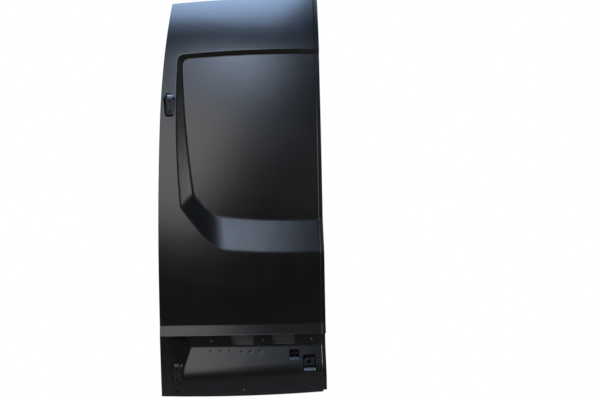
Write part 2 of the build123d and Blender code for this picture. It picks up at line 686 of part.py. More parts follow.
def parts():
    """Every piece of the door by name."""
    skin = outer_skin()
    tray = inner_tray()
    upper = slab(-FAR, FAR, STRIP_SEAM, FAR)
    lower = slab(-FAR, FAR, -FAR, STRIP_SEAM)
    pieces = {
        "outer_skin": skin & upper,
        "number_plate_panel": skin & lower,
        "meeting_flange": meeting_flange(),
        "inner_header": tray & slab(-FAR, FAR, HEADER_SPLIT, FAR),
        "inner_hinge_stile": tray & slab(-FAR, STILE_SPLIT, WAIST_SPLIT, HEADER_SPLIT),
        "inner_meeting_stile": tray & slab(STILE_SPLIT, FAR, WAIST_SPLIT, HEADER_SPLIT),
        "inner_waist_rail": tray & slab(-FAR, FAR, LOWER_SPLIT, WAIST_SPLIT),
        "inner_lower_panel": tray & slab(-FAR, FAR, -FAR, LOWER_SPLIT),
        "panel_stiffener": hat_stiffener(PANEL_STIFFENER_SPAN, PANEL_STIFFENER_Z),
        "upper_hinge_reinforcement": hinge_reinforcement(UPPER_PAD),
        "lower_hinge_reinforcement": hinge_reinforcement(LOWER_PAD),
        "lock_pocket": lock_cup(LOCK_POCKET),
        "handle_pocket": lock_cup(HANDLE_POCKET),
        "latch_plate": latch_plate(),
        "upper_rod_plate": rod_plate(UPPER_ROD_Z, upper_rod_y(), -1),
        "lower_rod_plate": rod_plate(LOWER_ROD_Z, LOWER_ROD_Y, 1),
        "check_arm_plate": check_arm_plate(),
    }
    for name, z in BLANK_STIFFENERS.items():
        pieces[name] = hat_stiffener(BLANK_STIFFENER_SPAN, z)
    return pieces


def main():
    """Moves each piece to the lower hinge pad's frame and writes it."""
    os.makedirs("parts", exist_ok=True)
    to_origin = Pos(-LOWER_PAD[0], -pad_face_y(LOWER_PAD), -LOWER_PAD[1])
    for name, piece in parts().items():
        export_step(to_origin * piece, f"parts/{name}.step")


main()
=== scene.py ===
import json
import math
from types import SimpleNamespace

import bpy
import numpy as np
from mathutils import Matrix, Quaternion, Vector


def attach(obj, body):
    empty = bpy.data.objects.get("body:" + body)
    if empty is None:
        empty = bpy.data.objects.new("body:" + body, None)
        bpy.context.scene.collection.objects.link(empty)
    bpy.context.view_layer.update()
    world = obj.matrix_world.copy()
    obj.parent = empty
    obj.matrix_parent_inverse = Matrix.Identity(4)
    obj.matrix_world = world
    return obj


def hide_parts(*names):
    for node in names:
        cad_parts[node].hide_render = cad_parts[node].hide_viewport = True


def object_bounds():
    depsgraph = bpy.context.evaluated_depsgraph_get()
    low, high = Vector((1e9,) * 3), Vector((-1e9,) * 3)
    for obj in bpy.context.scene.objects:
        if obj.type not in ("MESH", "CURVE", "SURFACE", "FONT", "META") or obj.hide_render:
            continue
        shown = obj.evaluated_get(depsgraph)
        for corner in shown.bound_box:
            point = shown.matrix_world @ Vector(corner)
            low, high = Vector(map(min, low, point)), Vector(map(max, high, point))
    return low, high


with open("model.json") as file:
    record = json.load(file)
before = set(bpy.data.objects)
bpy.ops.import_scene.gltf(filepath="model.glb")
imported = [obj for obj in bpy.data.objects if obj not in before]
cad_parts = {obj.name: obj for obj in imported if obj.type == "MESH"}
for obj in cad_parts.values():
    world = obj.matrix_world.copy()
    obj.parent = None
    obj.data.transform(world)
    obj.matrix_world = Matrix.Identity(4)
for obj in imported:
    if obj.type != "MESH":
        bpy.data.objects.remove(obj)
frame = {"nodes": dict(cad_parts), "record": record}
CAD_BOX = [list(corner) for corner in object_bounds()]

bl_info = {
    "name": "Van rear barn door shell",
    "version": (1, 0, 0),
    "blender": (4, 5, 0),
    "location": "3D View > Sidebar > Barn Door",
    "description": "Dresses the bare pressed-steel rear door of a high-roof van in black primer",
    "category": "Object",
}

# Lengths below are millimetres in the door's drawing frame: X from the hinge edge to the meeting edge,
# Y into the vehicle, Z up from the lowest point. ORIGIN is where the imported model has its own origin.
MM = 0.001
ORIGIN = np.array((80.0, 3.8509, 108.0))

# Body: arcs in plan, in side view and along the edges
SYMMETRY_X = 788.0
PLAN_RADIUS = 9000.0
LEAN_START = 450.0
BODY_RADIUS = 7600.0
BODY_SWEEP = math.radians(9.0)
HEADER_RADIUS = 1240.0
TOP_RADIUS = 8600.0
TOP_CORNER = 10.0
WIDEST_HEIGHT = 600.0
WAIST_RADIUS = 20000.0
TUMBLEHOME_START = 1300.0
TUMBLEHOME_RADIUS = 5000.0
TUCK_RADIUS = 25700.0
BOTTOM_RADIUS = 10000.0
BOTTOM_LOW_X = 300.0

# Ledge strip over the number plate bay, and the seam just over its lower edge
STRIP_TOP = 340.0
STRIP_BOTTOM = 288.0
STRIP_SEAM = 296.0
STRIP_OUT = 14.0

# Window blank: height and depth of its floor at two places, then each wall as lip x, lip z, the angle of the
# lip in degrees and the run for each unit of depth
FLOOR_LOW = (780.0, 50.7)
FLOOR_HIGH = (1700.0, 11.65)
LEFT_WALL = (98.5, 1590.0, 281.1, 1.64)
TOP_WALL = (774.0, 1674.0, 178.3, 1.73)
SHELF = (776.0, 683.0, 2.55, 2.82)
DIAGONAL = (114.0, 897.0, -42.0, 1.98)

# Number plate bay: its left wall, in the same form, the upright band with the lamps, and a slope under it
# that ends higher towards the meeting edge
BAY_WALL = (29.0, 280.0, -63.9, 2.3)
BAND_DEPTH = 45.0
BAND_BOTTOM = 230.0
SLOPE_END_LEFT = 95.0
SLOPE_END_RISE = 0.040

# Hinge pads: middle, half sizes, height, the bolt holes, and the margins outside and inside the outline
# between which the dull face begins
UPPER_PAD = (62.0, 1396.0)
LOWER_PAD = (80.0, 108.0)
PAD_HALF = (16.0, 42.0)
PAD_CORNER = 6.0
PAD_PROUD = 10.0
PAD_WALL_RUN = 0.50
BOLT_RADIUS = 4.5
BOLT_OFFSET = 26.0
DULL_OUTSIDE = (2.0, 2.0)
DULL_INSIDE = (1.0, 2.0)

# Openings of the plate panel. A pocket is its middle and its half sizes
LAMP_XS = (395.0, 594.0)
LAMP_Z = 259.0
LAMP_HALF = (54.0, 22.0)
LAMP_CORNER = 7.0
CLIP_XS = (246.0, 493.0, 728.0)
SMALL_HOLE = 4.0
DRAINS = ((81.0, 30.0), (400.0, 30.0), (724.0, 38.0))
LOCK_POCKET = (644.0, 189.0, 24.0, 23.0)
HANDLE_POCKET = (716.0, 150.0, 31.0, 37.0)
POCKET_CORNER = 9.0
POCKET_FLOOR = 32.0
POCKET_WALL_RUN = 0.27
POCKET_LIP_RUNS = (1.6, 1.1)
POCKET_LIP_RISE = 11.0
POCKET_HOLE = 8.0
POCKET_MARGIN = 4.0
DIMPLES = ((243.0, 208.0), (291.0, 209.0), (336.0, 209.0), (393.0, 203.0), (435.0, 203.0), (484.0, 206.0))
DIMPLE_RADIUS = 7.5
DIMPLE_DEPTH = 1.3
DIMPLE_FALLOFF = 2.5

# Depth of the inner panel's face inside the lower box section
INNER_FACE = 79.0

# Rounding of creases: two surfaces blend where their depths differ by less than this. For the blank's top
# corner it is a share of the corner's radius
STRIP_BLEND = 0.7
BLANK_CORNER_SHARE = 0.6
SHELF_CORNER_BLEND = 20.0
SIDE_CORNER_BLEND = 5.0
PAD_FACE_BLEND = 6.0
PAD_FOOT_BLEND = 2.0
BAND_BLEND = 2.4
SLOPE_FOOT_BLEND = 13.0
BAY_WALL_BLEND = 2.6
BAY_LIP_BLEND = 1.5
POCKET_SCOOP_BLEND = 5.0
POCKET_TOP_BLEND = 10.0
POCKET_LIP_BLEND = 6.0
POCKET_FLOOR_BLEND = 4.0
POCKET_MOUTH_BLEND = 0.8

# Edges: the hem's lines are distances in from the edge and depths behind it, and hems stay clear of each
# other at a corner. The meeting edge's wide bend is cut short where it has curled as deep as the hem
EDGE_BEND = 2.2
MEETING_BEND = 9.0
MEETING_TRIM = 2.29
HEM_FOLD = ((12.0, 3.0), (6.0, 3.0), (1.3, 3.0), (0.35, 2.75))
HEM_FLAT = 2.0
HEM_CLEAR = 14.0

# Ceiling under the strip: its two corners, and the drop over which it fades in
BAND_CORNER = 6.0
STRIP_CORNER = 3.0
CORNER_SHARE = 0.4
CEILING_FADE = 10.0

# Grids: how far the edges' curves draw the lines with them, and extra lines at pads, holes and pockets
SKIN_REACH = 300.0
PANEL_REACH = 40.0
TOP_REACH_START = 1720.0
BOTTOM_REACH = 90.0
UPPER_PAD_STEPS = np.array((-9.0, -6.0, -3.5, -1.8, 0.0, 1.5, 3.0, 5.0))
LOWER_PAD_STEPS = np.array((-8.0, -4.5, -2.5, -1.2, 0.0, 1.2, 2.4, 4.5))
HOLE_STEPS = np.array((0.0, 0.22, 0.5, 0.78, 1.0))
POCKET_STEPS = np.array((-4.0, -2.0, -0.8, 0.4, 1.6, 3.0, 4.5, 6.0, 7.5, 9.0, 11.0, 13.5, 16.0))

# Rivet nut: radius and height, round the barrel and the flange
NUT_BARREL = ((2.4, -6.0), (3.7, -6.0), (3.7, 0.05))
NUT_FLANGE = ((6.4, 0.05), (6.8, 0.4), (6.4, 0.9), (3.0, 1.0), (2.4, 0.5))
NUT_SIDES = 28

# Stage: the floor's gap under the door and the row of front boxes in metres, and the camera's place
FLOOR_GAP = 0.0005
FRONT_BOX_Y = -3.0
CAMERA_PLACE = (446.0, -4000.0, 931.6)
CAMERA_HEADING = math.radians(3.4)
CAMERA_ROLL = math.radians(1.0)


def metres(points):
    """Points of the drawing frame, in millimetres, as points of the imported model, in metres."""
    return (np.asarray(points, float) - ORIGIN) * MM


def smooth_min(a, b, blend):
    """The smaller of two fields, rounded where they differ by less than blend."""
    near = np.maximum(blend - np.abs(a - b), 0.0)
    return np.minimum(a, b) - near * near / (4.0 * blend)


def smooth_max(a, b, blend):
    """The larger of two fields, rounded where they differ by less than blend."""
    return -smooth_min(-a, -b, blend)


def sag(radius, distance):
    """How far an arc falls away from its tangent at a distance from where they touch: R - sqrt(R^2 - d^2)."""
    return radius - np.sqrt(radius**2 - distance**2)


def turned(y, x):
    """A side profile carried round the far upright axis: R - sqrt((R - y)^2 - (x - middle)^2)."""
    return PLAN_RADIUS - np.sqrt((PLAN_RADIUS - y) ** 2 - (x - SYMMETRY_X) ** 2)


def lean(z):
    """Side profile: upright, then the body arc, then the tighter header arc, all tangent."""
    rise = np.maximum(z - LEAN_START, 0.0)
    body_rise = BODY_RADIUS * math.sin(BODY_SWEEP)
    body = sag(BODY_RADIUS, np.minimum(rise, body_rise))
    apart = BODY_RADIUS - HEADER_RADIUS
    middle_y = BODY_RADIUS - apart * math.cos(BODY_SWEEP)
    middle_z = LEAN_START + apart * math.sin(BODY_SWEEP)
    header = middle_y - np.sqrt(HEADER_RADIUS**2 - (np.maximum(z, middle_z) - middle_z) ** 2)
    return np.where(rise <= body_rise, body, header)


def left_edge(z):
    """X of the hinge edge at height z: three tangent arcs."""
    waist_angle = math.asin((TUMBLEHOME_START - WIDEST_HEIGHT) / WAIST_RADIUS)
    waist_x = WAIST_RADIUS * (1.0 - math.cos(waist_angle))
    middle_x = waist_x + TUMBLEHOME_RADIUS * math.cos(waist_angle)
    middle_z = TUMBLEHOME_START - TUMBLEHOME_RADIUS * math.sin(waist_angle)
    tuck = sag(TUCK_RADIUS, np.minimum(z - WIDEST_HEIGHT, 0.0))
    waist = sag(WAIST_RADIUS, np.clip(z, WIDEST_HEIGHT, TUMBLEHOME_START) - WIDEST_HEIGHT)
    upper = middle_x - np.sqrt(TUMBLEHOME_RADIUS**2 - (np.maximum(z, TUMBLEHOME_START) - middle_z) ** 2)
    return np.where(z < WIDEST_HEIGHT, tuck, np.where(z < TUMBLEHOME_START, waist, upper))


def top_edge(x, top):
    """Height of the roof edge at x: one wide arc with its highest point in the middle of the vehicle."""
    return top - sag(TOP_RADIUS, x - SYMMETRY_X)


def bottom_edge(x):
    """Height of the bottom edge at x: one wide arc."""
    return sag(BOTTOM_RADIUS, x - BOTTOM_LOW_X)


def wall_field(wall, lip_y, x, z):
    """A sloping plane that starts at a lip and runs inwards: lip y + distance past the lip / run."""
    lip_x, lip_z, angle, run = wall
    inward_x, inward_z = -math.sin(math.radians(angle)), math.cos(math.radians(angle))
    return lip_y + ((x - lip_x) * inward_x + (z - lip_z) * inward_z) / run


def plain_skin(x, z):
    """The skin without its pressings: the side profile with the ledge strip, carried round in plan."""
    strip = (z - STRIP_TOP) * STRIP_OUT / (STRIP_TOP - STRIP_BOTTOM)
    return turned(smooth_min(lean(z), strip, STRIP_BLEND), x)


def blank_field(x, z, sizes):
    """Window blank: the smooth minimum of its curved floor and four walls, with the corners' radii."""
    low_z, high_z = FLOOR_LOW[0], FLOOR_HIGH[0]
    low_y, high_y = (lean(height) + depth for height, depth in (FLOOR_LOW, FLOOR_HIGH))
    t = (z - low_z) / (high_z - low_z)
    bulge = (high_z - low_z) ** 2 / (2.0 * BODY_RADIUS) * t * (1.0 - t)
    floor = turned(low_y + (high_y - low_y) * t - bulge, x)
    left, top, shelf, diagonal = (
        wall_field(wall, turned(lean(wall[1]), wall[0]), x, z)
        for wall in (LEFT_WALL, TOP_WALL, SHELF, DIAGONAL)
    )
    upper = smooth_min(left, top, BLANK_CORNER_SHARE * sizes.blank_corner)
    lower = smooth_min(diagonal, shelf, SHELF_CORNER_BLEND)
    return smooth_min(smooth_min(upper, lower, SIDE_CORNER_BLEND), floor, sizes.foot_blend)


def pad_field(pad, face_y, x, z):
    """A hinge pad: a flat face, and walls that run back by the distance outside its rounded outline."""
    across = np.abs(x - pad[0]) - (PAD_HALF[0] - PAD_CORNER)
    along = np.abs(z - pad[1]) - (PAD_HALF[1] - PAD_CORNER)
    outside = np.hypot(np.maximum(across, 0.0), np.maximum(along, 0.0))
    distance = outside + np.minimum(np.maximum(across, along), 0.0) - PAD_CORNER
    return face_y + smooth_max(distance / PAD_WALL_RUN, 0.0, PAD_FACE_BLEND)


def upper_field(x, z, sizes):
    """Depth of the main skin at x and z: plain skin, blank pressed in, hinge pad pressed out."""
    surface = smooth_max(plain_skin(x, z), blank_field(x, z, sizes), sizes.lip_blend)
    face_y = turned(lean(UPPER_PAD[1] - PAD_HALF[1]), UPPER_PAD[0]) - PAD_PROUD
    return smooth_min(surface, pad_field(UPPER_PAD, face_y, x, z), PAD_FOOT_BLEND)


def bay_field(x, z):
    """Number plate bay: upright band, sloping plate panel and left wall, blended at their creases."""
    end = SLOPE_END_LEFT + SLOPE_END_RISE * x
    slope = BAND_DEPTH - (BAND_BOTTOM - z) * BAND_DEPTH / (BAND_BOTTOM - end)
    banded = smooth_min(slope, BAND_DEPTH, BAND_BLEND)
    profile = smooth_max(banded, 0.0, SLOPE_FOOT_BLEND) - STRIP_OUT
    lip_y = turned(-STRIP_OUT, BAY_WALL[0])
    return smooth_min(turned(profile, x), wall_field(BAY_WALL, lip_y, x, z), BAY_WALL_BLEND)


def lower_field(x, z):
    """Depth of the plate panel at x and z, under the strip: platform, bay, dimples and hinge pad."""
    platform = turned(-STRIP_OUT, x)
    surface = smooth_max(platform, bay_field(x, z), BAY_LIP_BLEND)
    for dimple_x, dimple_z in DIMPLES:
        away = ((x - dimple_x) ** 2 + (z - dimple_z) ** 2) / DIMPLE_RADIUS**2
        surface = surface + DIMPLE_DEPTH * np.exp(-DIMPLE_FALLOFF * away)
    face_y = turned(-STRIP_OUT, LOWER_PAD[0]) - PAD_PROUD
    return smooth_min(surface, pad_field(LOWER_PAD, face_y, x, z), PAD_FOOT_BLEND)


def pocket_depth(pocket, lip_run, x, z):
    """Depth of a drawn pocket behind its panel: steep walls, a scooped lower lip and a flat floor."""
    middle_x, middle_z, half_x, half_z = pocket
    side = (half_x - np.abs(x - middle_x)) / POCKET_WALL_RUN
    over = (middle_z + half_z - z) / POCKET_WALL_RUN
    rise = z - (middle_z - half_z)
    under = smooth_max(rise / lip_run, (rise - POCKET_LIP_RISE) / POCKET_WALL_RUN, POCKET_SCOOP_BLEND)
    walls = smooth_min(smooth_min(side, over, POCKET_TOP_BLEND), under, POCKET_LIP_BLEND)
    cup = smooth_min(walls, POCKET_FLOOR, POCKET_FLOOR_BLEND)
    return smooth_max(cup, 0.0, POCKET_MOUTH_BLEND)


def bend(distance, radius):
    """How far an edge curls back at a distance from the outline: a quarter circle."""
    return sag(radius, np.clip(radius - distance, 0.0, radius))


def side_curl(x, z, width):
    """How far the skin curls back at its two sides: the hinge edge's bend and the meeting edge's."""
    return bend(x - left_edge(z), EDGE_BEND) + bend(width - x + MEETING_TRIM, MEETING_BEND)


def spread(*spans):
    """Grid lines from spans of start, stop and step, without the last stop."""
    runs = [np.linspace(a, b, max(2, int(round((b - a) / s)) + 1))[:-1] for a, b, s in spans]
    return np.concatenate(runs)


def with_lines(base, wanted, room):
    """Grid lines with the wanted ones added, less those that stand closer than room to one of them."""
    wanted = np.unique(np.round(wanted, 3))
    apart = np.abs(base[:, None] - wanted[None, :]).min(axis=1)
    return np.sort(np.concatenate([base[apart > room], wanted]))


def edge_lines(middle, half, steps):
    """Lines at the given steps in from both ends of a span."""
    return np.concatenate([middle - half + steps, middle + half - steps])


def hole_lines(middle, half, corner):
    """Lines that a hole needs along one axis: both edges, and more within each rounded corner."""
    return edge_lines(middle, half, HOLE_STEPS * corner)


def round_hole(x, z, radius):
    """A round hole as middle, half sizes and corner."""
    return (x, z, radius, radius, radius)


def bolt_holes(pad):
    """The two bolt holes of a hinge pad, one over the other."""
    return [round_hole(pad[0], pad[1] + side * BOLT_OFFSET, BOLT_RADIUS) for side in (-1, 1)]


def hemmed(lines, at_start, at_end):
    """Grid lines with a hem folded behind either end: position, shift in from the edge, depth behind it."""
    inset, depth = np.array(HEM_FOLD).T
    before, after = len(inset) * at_start, len(inset) * at_end
    flat = np.zeros(len(lines))
    return SimpleNamespace(
        line=np.concatenate([np.full(before, lines[0]), lines, np.full(after, lines[-1])]),
        shift=np.concatenate([inset[:before], flat, -inset[::-1][:after]]),
        back=np.concatenate([depth[:before], flat, depth[::-1][:after]]),
        inner=slice(before, before + len(lines)),
    )


def hem_cells(columns, rows, width):
    """Cells of a hemmed grid that are kept: none where the side hems and the end hem would cross."""
    side = (columns.back[:-1] > 0.0) | (columns.back[1:] > 0.0)
    end = (rows.back[:-1] > 0.0) | (rows.back[1:] > 0.0)
    flat = end & (np.abs(rows.shift[:-1] + rows.shift[1:]) > 2.0 * HEM_FLAT)
    near_side = (columns.line[:-1] < HEM_CLEAR) | (columns.line[1:] > width - HEM_CLEAR)
    return ~(end[:, None] & side) & ~(flat[:, None] & near_side)


def hemmed_depth(y, curl, columns, rows):
    """Depths of a hemmed grid: the field and its edges' curl, or the field and the hem's depth behind it."""
    back = np.maximum(columns.back, rows.back[:, None])
    return y + np.where(back > 0.0, back, curl)


def rounded(p, q, half, corner):
    """Points of a rectangle's border moved onto its rounded outline, each corner square onto its arc."""
    px, qx = np.abs(p) - (half[0] - corner), np.abs(q) - (half[1] - corner)
    inside = (px > 0.0) & (qx > 0.0)
    scale = np.where(inside, np.maximum(px, qx) / np.maximum(np.hypot(px, qx), 1e-9), 1.0)
    new_p = np.where(inside, np.sign(p) * (half[0] - corner + px * scale), p)
    new_q = np.where(inside, np.sign(q) * (half[1] - corner + qx * scale), q)
    return new_p, new_q


def cut_hole(x, z, keep, columns, rows, hole, column_span=None):
    """Drops the cells inside a hole and moves its border onto its rounded outline. Where columns are drawn to
    one side, column_span gives the hole's middle and half width in them."""
    middle_x, middle_z, half_x, half_z, corner = hole
    middle_line, half_line = column_span or (middle_x, half_x)
    slack = 0.01
    ci = np.flatnonzero(np.abs(columns - middle_line) <= half_line + slack)
    ri = np.flatnonzero(np.abs(rows - middle_z) <= half_z + slack)
    p = (columns[ci] - middle_line) / half_line * half_x
    q = rows[ri] - middle_z
    pp, qq = rounded(*np.meshgrid(p, q), (half_x, half_z), corner)
    block = np.ix_(ri, ci)
    x[block], z[block] = middle_x + pp, middle_z + qq
    keep[np.ix_(ri[:-1], ci[:-1])] = False


def grid_faces(shape, keep):
    """Quads of a grid of rows and columns whose cells are kept, facing the front."""
    index = np.arange(shape[0] * shape[1]).reshape(shape)
    quads = np.stack([index[:-1, :-1], index[:-1, 1:], index[1:, 1:], index[1:, :-1]], axis=-1)
    return quads[keep].reshape(-1, 4)


def point_normals(points, quads):
    """Normals at the points of a mesh of quads, from the diagonals' cross products."""
    corners = points[quads]
    cross = np.cross(corners[:, 2] - corners[:, 0], corners[:, 3] - corners[:, 1])
    normals = np.zeros_like(points)
    for k in range(4):
        np.add.at(normals, quads[:, k], cross)
    return normals / np.maximum(np.linalg.norm(normals, axis=1, keepdims=True), 1e-12)


def border_edges(quads):
    """Directed edges that only one quad uses."""
    pairs = np.concatenate([quads[:, [k, (k + 1) % 4]] for k in range(4)])
    key = np.sort(pairs, axis=1)
    _, first, count = np.unique(key, axis=0, return_index=True, return_counts=True)
    return pairs[first[count == 1]]


def packed(points, quads):
    """Points that some quad uses, and the quads renumbered to them."""
    used, quads = np.unique(quads, return_inverse=True)
    return points[used], quads.reshape(-1, 4)


def thick_sheet(points, quads, gauge):
    """A sheet with its back a gauge behind its front along the normals, and a rim round every border."""
    points, quads = packed(points, quads)
    count = len(points)
    back = points - point_normals(points, quads) * gauge
    back = np.clip(back, *CAD_BOX)
    border = border_edges(quads)
    rim = np.stack([border[:, 1], border[:, 0], border[:, 0] + count, border[:, 1] + count], axis=-1)
    faces = np.concatenate([quads, quads[:, ::-1] + count, rim])
    sharp = np.concatenate([border, border + count])
    return np.concatenate([points, back]), faces, sharp


def new_piece(name, points, faces, sharp=None):
    """A mesh object at the origin, from points in metres and quads, smooth apart from its sharp edges."""
    mesh = bpy.data.meshes.new(name)
    mesh.from_pydata(points.tolist(), [], faces.tolist())
    mesh.polygons.foreach_set("use_smooth", np.full(len(mesh.polygons), True))
    if sharp is not None and len(sharp):
        ends = np.zeros(len(mesh.edges) * 2, np.int32)
        mesh.edges.foreach_get("vertices", ends)
        key = np.sort(ends.reshape(-1, 2), axis=1).astype(np.int64)
        wanted = np.sort(sharp, axis=1).astype(np.int64)
        count = len(points)
        marked = np.isin(key[:, 0] * count + key[:, 1], wanted[:, 0] * count + wanted[:, 1])
        mesh.attributes.new("sharp_edge", "BOOLEAN", "EDGE").data.foreach_set("value", marked)
    mesh.update()
    mesh.validate()
    piece = bpy.data.objects.new(name, mesh)
    bpy.context.scene.collection.objects.link(piece)
    return piece


def revolved(profile, sides):
    """A closed profile of (radius, height) pairs turned about Z on a grid: points and quads."""
    radius, height = np.asarray(profile, float).T
    angle = np.linspace(0.0, 2.0 * np.pi, sides, endpoint=False)
    x, y = radius[:, None] * np.cos(angle), radius[:, None] * np.sin(angle)
    points = np.stack([x, y, np.repeat(height[:, None], sides, axis=1)], axis=-1)
    index = np.arange(points.shape[0] * sides).reshape(-1, sides)
    after = np.roll(index, -1, axis=1)
    above, above_after = np.roll(index, -1, axis=0), np.roll(after, -1, axis=0)
    quads = np.stack([index, after, above_after, above], axis=-1)
    return points.reshape(-1, 3), quads.reshape(-1, 4)


def repeated(points, quads, spots, normals):
    """One mesh of copies of a small shape, its Z laid along each level unit normal and its origin on each
    spot: points and quads."""
    side = np.cross((0.0, 0.0, 1.0), normals)
    side /= np.linalg.norm(side, axis=1, keepdims=True)
    axes = np.stack([side, np.cross(normals, side), normals], axis=1)
    copies = np.einsum("pk,nkj->npj", points, axes) + spots[:, None, :]
    offset = np.arange(len(spots))[:, None, None] * len(points)
    return copies.reshape(-1, 3), (quads[None] + offset).reshape(-1, 4)


def field_normals(field, x, z):
    """Outward normals of a depth field y(x, z), from central differences."""
    step = 0.5
    slope_x = (field(x + step, z) - field(x - step, z)) / (2.0 * step)
    slope_z = (field(x, z + step) - field(x, z - step)) / (2.0 * step)
    normals = np.stack([slope_x, -np.ones_like(x), slope_z], axis=-1)
    return normals / np.linalg.norm(normals, axis=-1, keepdims=True)


class Field:
    """A shader socket that takes part in Python arithmetic; each operation adds one Math node."""

    def __init__(self, paint, socket):
        self.paint = paint
        self.socket = socket

    def math(self, operation, *others):
        """The result of a Math node of the given operation."""
        node = self.paint.node("ShaderNodeMath", {"operation": operation}, self, *others)
        return Field(self.paint, node.outputs[0])

    def __add__(self, other):
        return self.math("ADD", other)

    def __mul__(self, other):
        return self.math("MULTIPLY", other)

    def __sub__(self, other):
        return self.math("SUBTRACT", other)

    def __rsub__(self, other):
        return (self * -1.0) + other

    __radd__ = __add__
    __rmul__ = __mul__

    def clamped(self):
        """The value held between 0 and 1."""
        return self.math("MAXIMUM", 0.0).math("MINIMUM", 1.0)


class NodeTree:
    """A node tree under construction."""

    def __init__(self, tree):
        self.tree = tree

    def link(self, value, socket):
        """Sets a socket from a number, colour or vector, or links it from a field or an output."""
        if isinstance(value, Field):
            value = value.socket
        if isinstance(value, bpy.types.NodeSocket):
            self.tree.links.new(value, socket)
        else:
            socket.default_value = value

    def node(self, kind, settings, *sockets, **named):
        """Adds a node: its type, its settings, then its sockets in order or by name."""
        node = self.tree.nodes.new(kind)
        for key, value in settings.items():
            setattr(node, key, value)
        for socket, value in zip(node.inputs, sockets):
            self.link(value, socket)
        for key, value in named.items():
            self.link(value, node.inputs[key.replace("_", " ")])
        return node


class Paint(NodeTree):
    """One material under construction: its node tree, its Principled shader and its coordinates."""

    def __init__(self, name):
        self.material = bpy.data.materials.new(name)
        self.material.use_nodes = True
        super().__init__(self.material.node_tree)
        self.shader = self.tree.nodes["Principled BSDF"]
        self.place = self.node("ShaderNodeTexCoord", {}).outputs["Object"]

    def along(self, axis):
        """One of the object's own coordinates, by its letter."""
        node = self.node("ShaderNodeSeparateXYZ", {}, self.place)
        return Field(self, node.outputs[axis])

    def noise(self, scale, detail=3.0, roughness=0.55, stretch=None):
        """Noise over the object's own coordinates, from 0 to 1."""
        place = self.place
        if stretch is not None:
            place = self.node("ShaderNodeMapping", {}, self.place, Scale=stretch).outputs[0]
        named = {"Vector": place, "Scale": scale, "Detail": detail, "Roughness": roughness}
        return Field(self, self.node("ShaderNodeTexNoise", {}, **named).outputs["Fac"])

    def mask(self, value, low, high):
        """0 at low and 1 at high, with a smooth rise between, and the same beyond; either may be larger."""
        named = {"From_Min": low, "From_Max": high}
        node = self.node("ShaderNodeMapRange", {"interpolation_type": "SMOOTHSTEP"}, value, **named)
        return Field(self, node.outputs[0])

    def mixed(self, factor, first, second):
        """Two colours mixed by a factor, on the sockets that the Mix node keeps for colours."""
        node = self.node("ShaderNodeMix", {"data_type": "RGBA"})
        for value, socket in zip((factor, first, second), (0, 6, 7)):
            self.link(value, node.inputs[socket])
        return node.outputs[2]

    def bumped(self, *layers):
        """Bump nodes in a row, one for each height, strength and distance; feeds Normal."""
        normal = None
        for height, strength, distance in layers:
            named = {"Height": height, "Strength": strength, "Distance": distance}
            if normal is not None:
                named["Normal"] = normal
            normal = self.node("ShaderNodeBump", {}, **named).outputs[0]
        self.link(normal, self.shader.inputs["Normal"])

    def set(self, **named):
        """Sockets of the shader by name, with underscores for spaces."""
        for key, value in named.items():
            self.link(value, self.shader.inputs[key.replace("_", " ")])
        return self.material


def colour(value):
    """A colour property as four numbers."""
    return (value[0], value[1], value[2], 1.0)


def pad_faces(paint):
    """1 on the flat faces of the two hinge pads and 0 elsewhere, from the distance to each pad's middle."""
    outer = [(half + margin) * MM for half, margin in zip(PAD_HALF, DULL_OUTSIDE)]
    inner = [(half - margin) * MM for half, margin in zip(PAD_HALF, DULL_INSIDE)]
    faces = 0.0
    for pad_x, pad_z in (UPPER_PAD, LOWER_PAD):
        middle_x, _, middle_z = metres((pad_x, 0.0, pad_z))
        across = (paint.along("X") - middle_x).math("ABSOLUTE")
        up = (paint.along("Z") - middle_z).math("ABSOLUTE")
        on_x = paint.mask(across, outer[0], inner[0])
        on_z = paint.mask(up, outer[1], inner[1])
        faces = on_x * on_z + faces
    return faces


def primer_paint(name, finish, gloss, grain):
    """Satin black dip primer: cloudy tone, fine orange peel, a film of dust, and dull hinge pad faces."""
    paint = Paint(name)
    cloud = paint.noise(2.3, detail=4.0)
    speck = paint.noise(420.0, detail=2.0)
    patches = paint.noise(6.0, detail=6.0, roughness=0.62)
    dust = paint.mask(patches, 0.48, 0.75) * finish.dust
    tone = paint.mixed(paint.mask(cloud, 0.35, 0.7), colour(finish.primer), colour(finish.primer_pale))
    dusty = paint.mixed(dust * paint.mask(speck, 0.35, 0.75), tone, colour(finish.dust_colour))
    rough = gloss + (cloud - 0.5) * 0.10 + (speck - 0.5) * 0.06 + dust * 0.15
    rough = rough + pad_faces(paint) * finish.pad_dullness
    grit, peel, wave = paint.noise(900.0, detail=2.0), paint.noise(70.0), paint.noise(5.0, detail=2.0)
    paint.bumped((grit, 0.05 * grain, 0.0004), (peel, 0.05 * grain, 0.0015), (wave, 0.04 * grain, 0.02))
    return paint.set(Base_Color=dusty, Roughness=rough.clamped(), Specular_IOR_Level=finish.shine)


def zinc_paint(name, finish):
    """Black zinc plating: dark metal with a fine crystal mottle."""
    paint = Paint(name)
    mottle = paint.noise(260.0)
    tone = paint.mixed(mottle, colour(finish.zinc), colour(finish.zinc_pale))
    paint.bumped((paint.noise(700.0, detail=2.0), 0.12, 0.0003))
    return paint.set(Base_Color=tone, Metallic=1.0, Roughness=(0.28 + mottle * 0.2).clamped())


